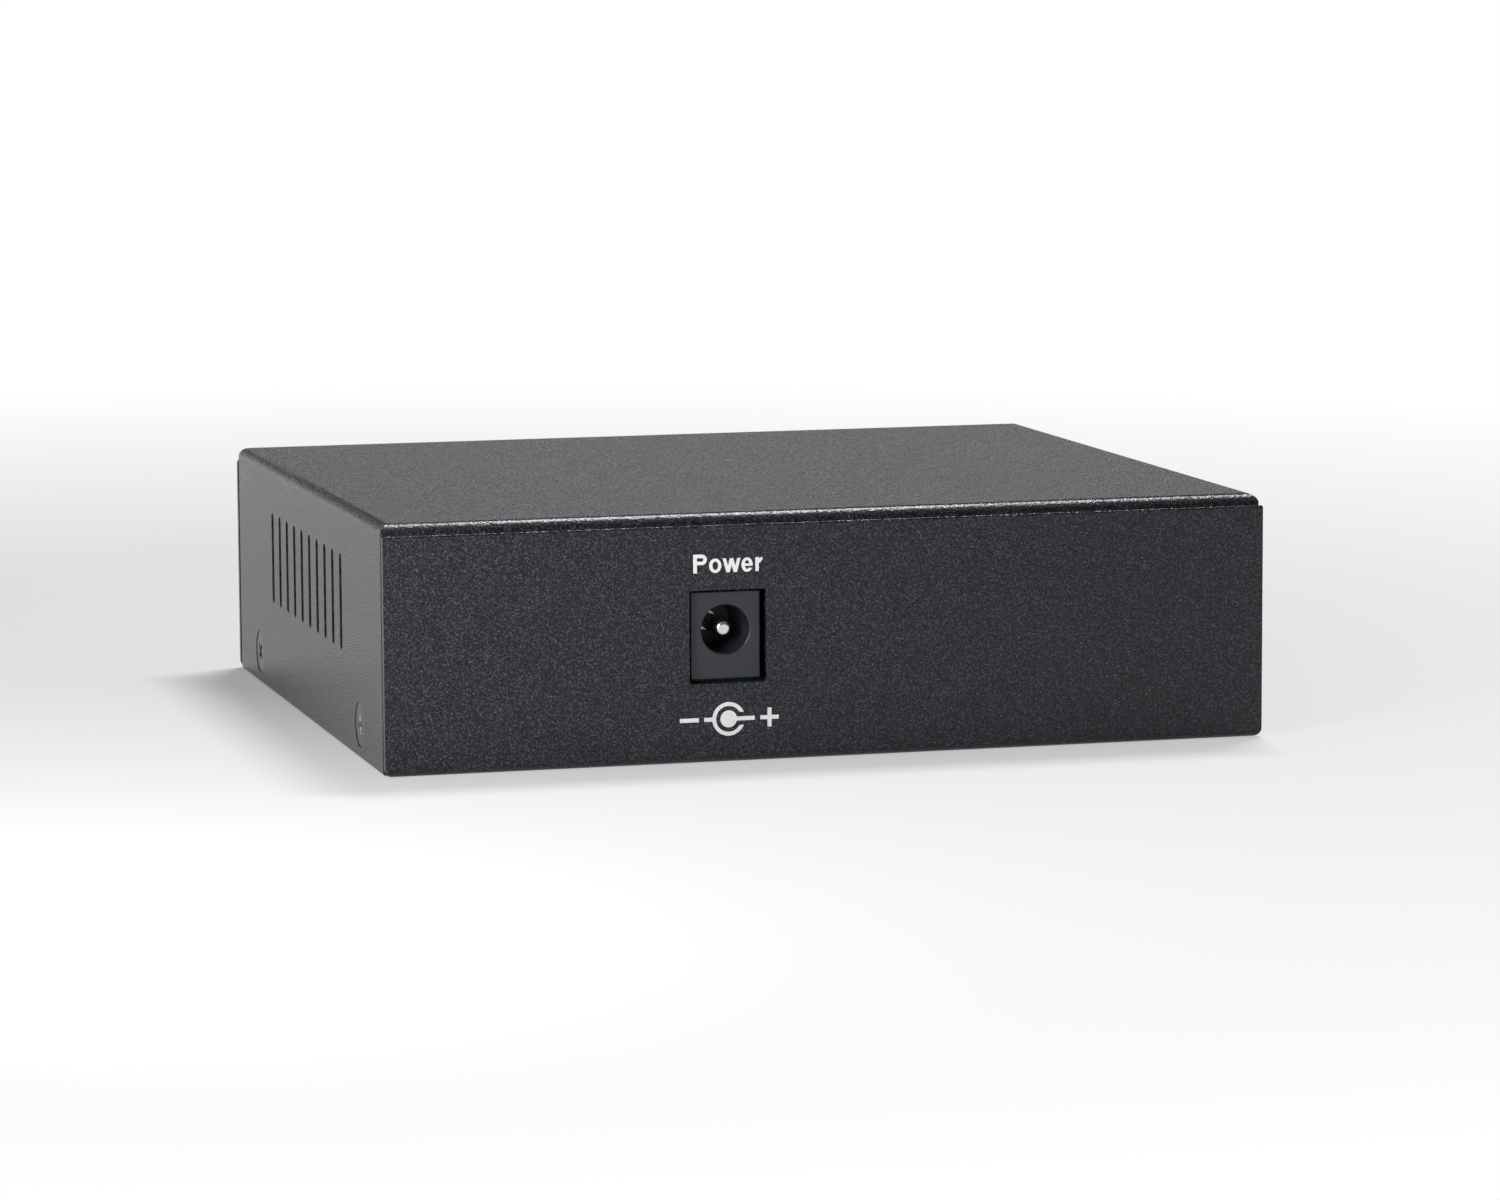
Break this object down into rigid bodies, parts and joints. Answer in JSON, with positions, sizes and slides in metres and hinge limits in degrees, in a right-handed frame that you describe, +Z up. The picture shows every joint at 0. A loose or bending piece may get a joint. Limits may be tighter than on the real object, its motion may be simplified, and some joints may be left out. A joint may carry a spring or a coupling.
{
  "type": "unmanaged ethernet switch",
  "caption": "Small black folded-steel desktop network switch: a row of network sockets at the front, vent slots in both sides and a round power inlet at the back.",
  "frame": {"origin": "middle of the underside", "axes": "+X to the right as seen from the network sockets, +Y from the sockets to the power inlet, +Z up"},
  "size_m": [0.11, 0.098, 0.03],
  "materials": {
    "case_paint": "black powder coat with a fine grain",
    "dark_zinc": "dark zinc plate, satin",
    "board_laminate": "green solder mask",
    "bright_steel": "bright zinc plate",
    "inlet_plastic": "black moulded plastic, satin",
    "nickel_plate": "bright nickel plate",
    "clear_plastic": "clear moulded plastic",
    "light_chip": "pale yellow resin",
    "chip_package": "black moulded package",
    "can_metal": "bare drawn can",
    "coil_body": "dark grey ferrite",
    "chip_ceramic": "tan ceramic",
    "socket_plastic": "black moulded plastic",
    "gold_plate": "gold plate"
  },
  "bodies": {
    "root": {"base_tray": "case_paint", "top_cover": "case_paint", "screw_brackets": "bright_steel", "case_screws": "dark_zinc", "circuit_board": "board_laminate", "board_standoffs": "bright_steel", "board_screws": "bright_steel", "inlet_housing": "inlet_plastic", "inlet_pin": "nickel_plate", "inlet_terminal": "bright_steel", "inlet_spring": "bright_steel", "light_guide": "clear_plastic", "status_lights": "light_chip", "switch_chip": "chip_package", "memory_chip": "chip_package", "regulator_chips": "chip_package", "crystal": "can_metal", "power_inductors": "coil_body", "bulk_capacitors": "can_metal", "input_diode": "chip_package", "chip_capacitors": "chip_ceramic", "socket_housing_1": "socket_plastic", "socket_contacts_1": "gold_plate", "transformer_1": "chip_package", "socket_housing_2": "socket_plastic", "socket_contacts_2": "gold_plate", "transformer_2": "chip_package", "socket_housing_3": "socket_plastic", "socket_contacts_3": "gold_plate", "transformer_3": "chip_package", "socket_housing_4": "socket_plastic", "socket_contacts_4": "gold_plate", "transformer_4": "chip_package", "socket_housing_5": "socket_plastic", "socket_contacts_5": "gold_plate", "transformer_5": "chip_package"}
  },
  "joints": []
}
